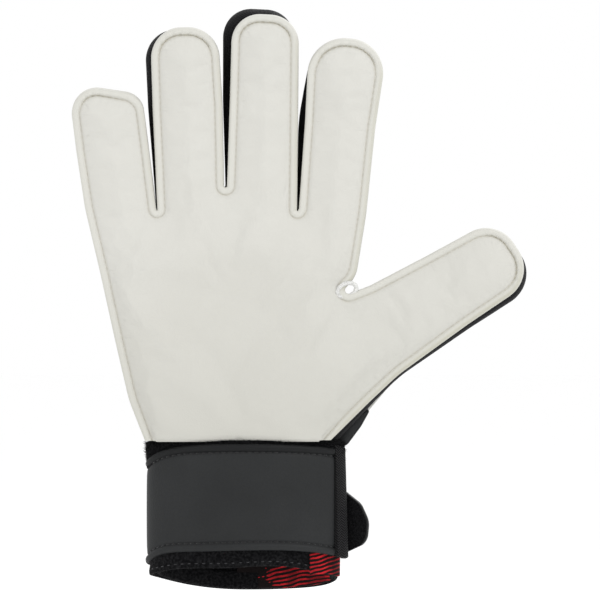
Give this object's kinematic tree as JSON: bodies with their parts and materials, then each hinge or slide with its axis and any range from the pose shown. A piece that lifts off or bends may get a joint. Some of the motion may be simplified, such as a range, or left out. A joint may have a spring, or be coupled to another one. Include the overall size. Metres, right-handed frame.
{
  "type": "goalkeeper glove",
  "caption": "Right-hand flat-palm goalkeeper glove with off-white latex palm, black mesh gussets and a full-wrap wrist strap.",
  "frame": {"origin": "centre of the wrist opening, level with the lowest edge of the cuff", "axes": "+Z from the wrist to the fingertips, -Y out of the palm, +X towards the thumb"},
  "size_m": [0.2121, 0.0495, 0.2672],
  "materials": {
    "palm_latex": "smooth matt foamed latex, off-white",
    "mesh": "black open knit mesh",
    "lining": "black brushed jersey",
    "back_foam": "black foam-backed textile",
    "pad": "red foam-backed textile with dark stripes",
    "strap": "charcoal synthetic leather, fine grain",
    "binding": "turned and stitched edge, charcoal",
    "tape": "black zigzag-stitched woven tape",
    "hook": "black hook tape",
    "loop": "black loop tape",
    "bandage": "elastic knit with red and black stripes"
  },
  "bodies": {
    "hand": {"palm_latex": "palm_latex", "palm_lining": "lining", "back_panel": "back_foam", "back_lining": "lining", "knuckle_pad": "pad", "little_side_gusset": "mesh", "thumb_web_gusset": "mesh", "thumb_side_gusset": "mesh", "finger_web_gussets": "mesh", "thumb_side_panel": "strap", "wrist_bandage": "bandage", "bandage_facing": "bandage", "loop_patch": "loop", "strap_front": "strap", "strap_front_binding": "binding", "side_tape": "tape"},
    "little_base": {"little_base_latex": "palm_latex", "little_base_gusset": "mesh", "little_base_back": "back_foam"},
    "little_tip": {"little_tip_latex": "palm_latex", "little_tip_gusset": "mesh", "little_tip_back": "back_foam"},
    "ring_base": {"ring_base_latex": "palm_latex", "ring_base_gusset": "mesh", "ring_base_back": "back_foam"},
    "ring_tip": {"ring_tip_latex": "palm_latex", "ring_tip_gusset": "mesh", "ring_tip_back": "back_foam"},
    "middle_base": {"middle_base_latex": "palm_latex", "middle_base_gusset": "mesh", "middle_base_back": "back_foam"},
    "middle_tip": {"middle_tip_latex": "palm_latex", "middle_tip_gusset": "mesh", "middle_tip_back": "back_foam"},
    "index_base": {"index_base_latex": "palm_latex", "index_base_gusset": "mesh", "index_base_back": "back_foam"},
    "index_tip": {"index_tip_latex": "palm_latex", "index_tip_gusset": "mesh", "index_tip_back": "back_foam"},
    "thumb_base": {"thumb_base_latex": "palm_latex", "thumb_base_gusset": "mesh", "thumb_base_back": "back_foam"},
    "thumb_tip": {"thumb_tip_latex": "palm_latex", "thumb_tip_gusset": "mesh", "thumb_tip_back": "back_foam"},
    "strap_flap": {"strap_flap": "strap", "strap_flap_binding": "binding", "flap_hook_patch": "hook"},
    "strap_end": {"strap_end": "strap", "strap_end_hook": "hook"}
  },
  "joints": [
    {"name": "little_knuckle", "type": "hinge", "parent": "hand", "child": "little_base", "pos_m": [-0.05846, -0.0105, 0.18592], "axis": [0.9923, 0, 0.1236], "range_deg": [-5, 60], "stiffness_Nm_per_rad": 0.06},
    {"name": "little_middle_joint", "type": "hinge", "parent": "little_base", "child": "little_tip", "pos_m": [-0.06129, -0.01251, 0.20865], "axis": [0.9923, 0, 0.1236], "range_deg": [-8, 65], "stiffness_Nm_per_rad": 0.06},
    {"name": "ring_knuckle", "type": "hinge", "parent": "hand", "child": "ring_base", "pos_m": [-0.02584, -0.0105, 0.19779], "axis": [0.9996, 0, 0.0279], "range_deg": [-5, 60], "stiffness_Nm_per_rad": 0.06},
    {"name": "ring_middle_joint", "type": "hinge", "parent": "ring_base", "child": "ring_tip", "pos_m": [-0.02667, -0.01311, 0.22767], "axis": [0.9996, 0, 0.0279], "range_deg": [-8, 65], "stiffness_Nm_per_rad": 0.06},
    {"name": "middle_knuckle", "type": "hinge", "parent": "hand", "child": "middle_base", "pos_m": [0.00817, -0.0105, 0.1978], "axis": [0.9997, 0, -0.0227], "range_deg": [-5, 60], "stiffness_Nm_per_rad": 0.06},
    {"name": "middle_middle_joint", "type": "hinge", "parent": "middle_base", "child": "middle_tip", "pos_m": [0.0089, -0.01329, 0.22967], "axis": [0.9997, 0, -0.0227], "range_deg": [-8, 65], "stiffness_Nm_per_rad": 0.06},
    {"name": "index_knuckle", "type": "hinge", "parent": "hand", "child": "index_base", "pos_m": [0.04134, -0.0105, 0.18894], "axis": [0.9954, 0, -0.0958], "range_deg": [-5, 60], "stiffness_Nm_per_rad": 0.06},
    {"name": "index_middle_joint", "type": "hinge", "parent": "index_base", "child": "index_tip", "pos_m": [0.0443, -0.0132, 0.21968], "axis": [0.9954, 0, -0.0958], "range_deg": [-8, 65], "stiffness_Nm_per_rad": 0.06},
    {"name": "thumb_knuckle", "type": "hinge", "parent": "hand", "child": "thumb_base", "pos_m": [0.06989, -0.0105, 0.12572], "axis": [0.4848, 0, -0.8746], "range_deg": [-4, 50], "stiffness_Nm_per_rad": 0.06},
    {"name": "thumb_middle_joint", "type": "hinge", "parent": "thumb_base", "child": "thumb_tip", "pos_m": [0.09607, -0.01259, 0.14023], "axis": [0.4848, 0, -0.8746], "range_deg": [-6, 60], "stiffness_Nm_per_rad": 0.06},
    {"name": "strap_opening", "type": "hinge", "parent": "hand", "child": "strap_flap", "pos_m": [-0.0453, 0, 0], "axis": [0, 0, 1], "range_deg": [0, 140]},
    {"name": "strap_end_fold", "type": "hinge", "parent": "strap_flap", "child": "strap_end", "pos_m": [0.03652, 0.01331, 0], "axis": [0, 0, 1], "range_deg": [0, 60]}
  ]
}
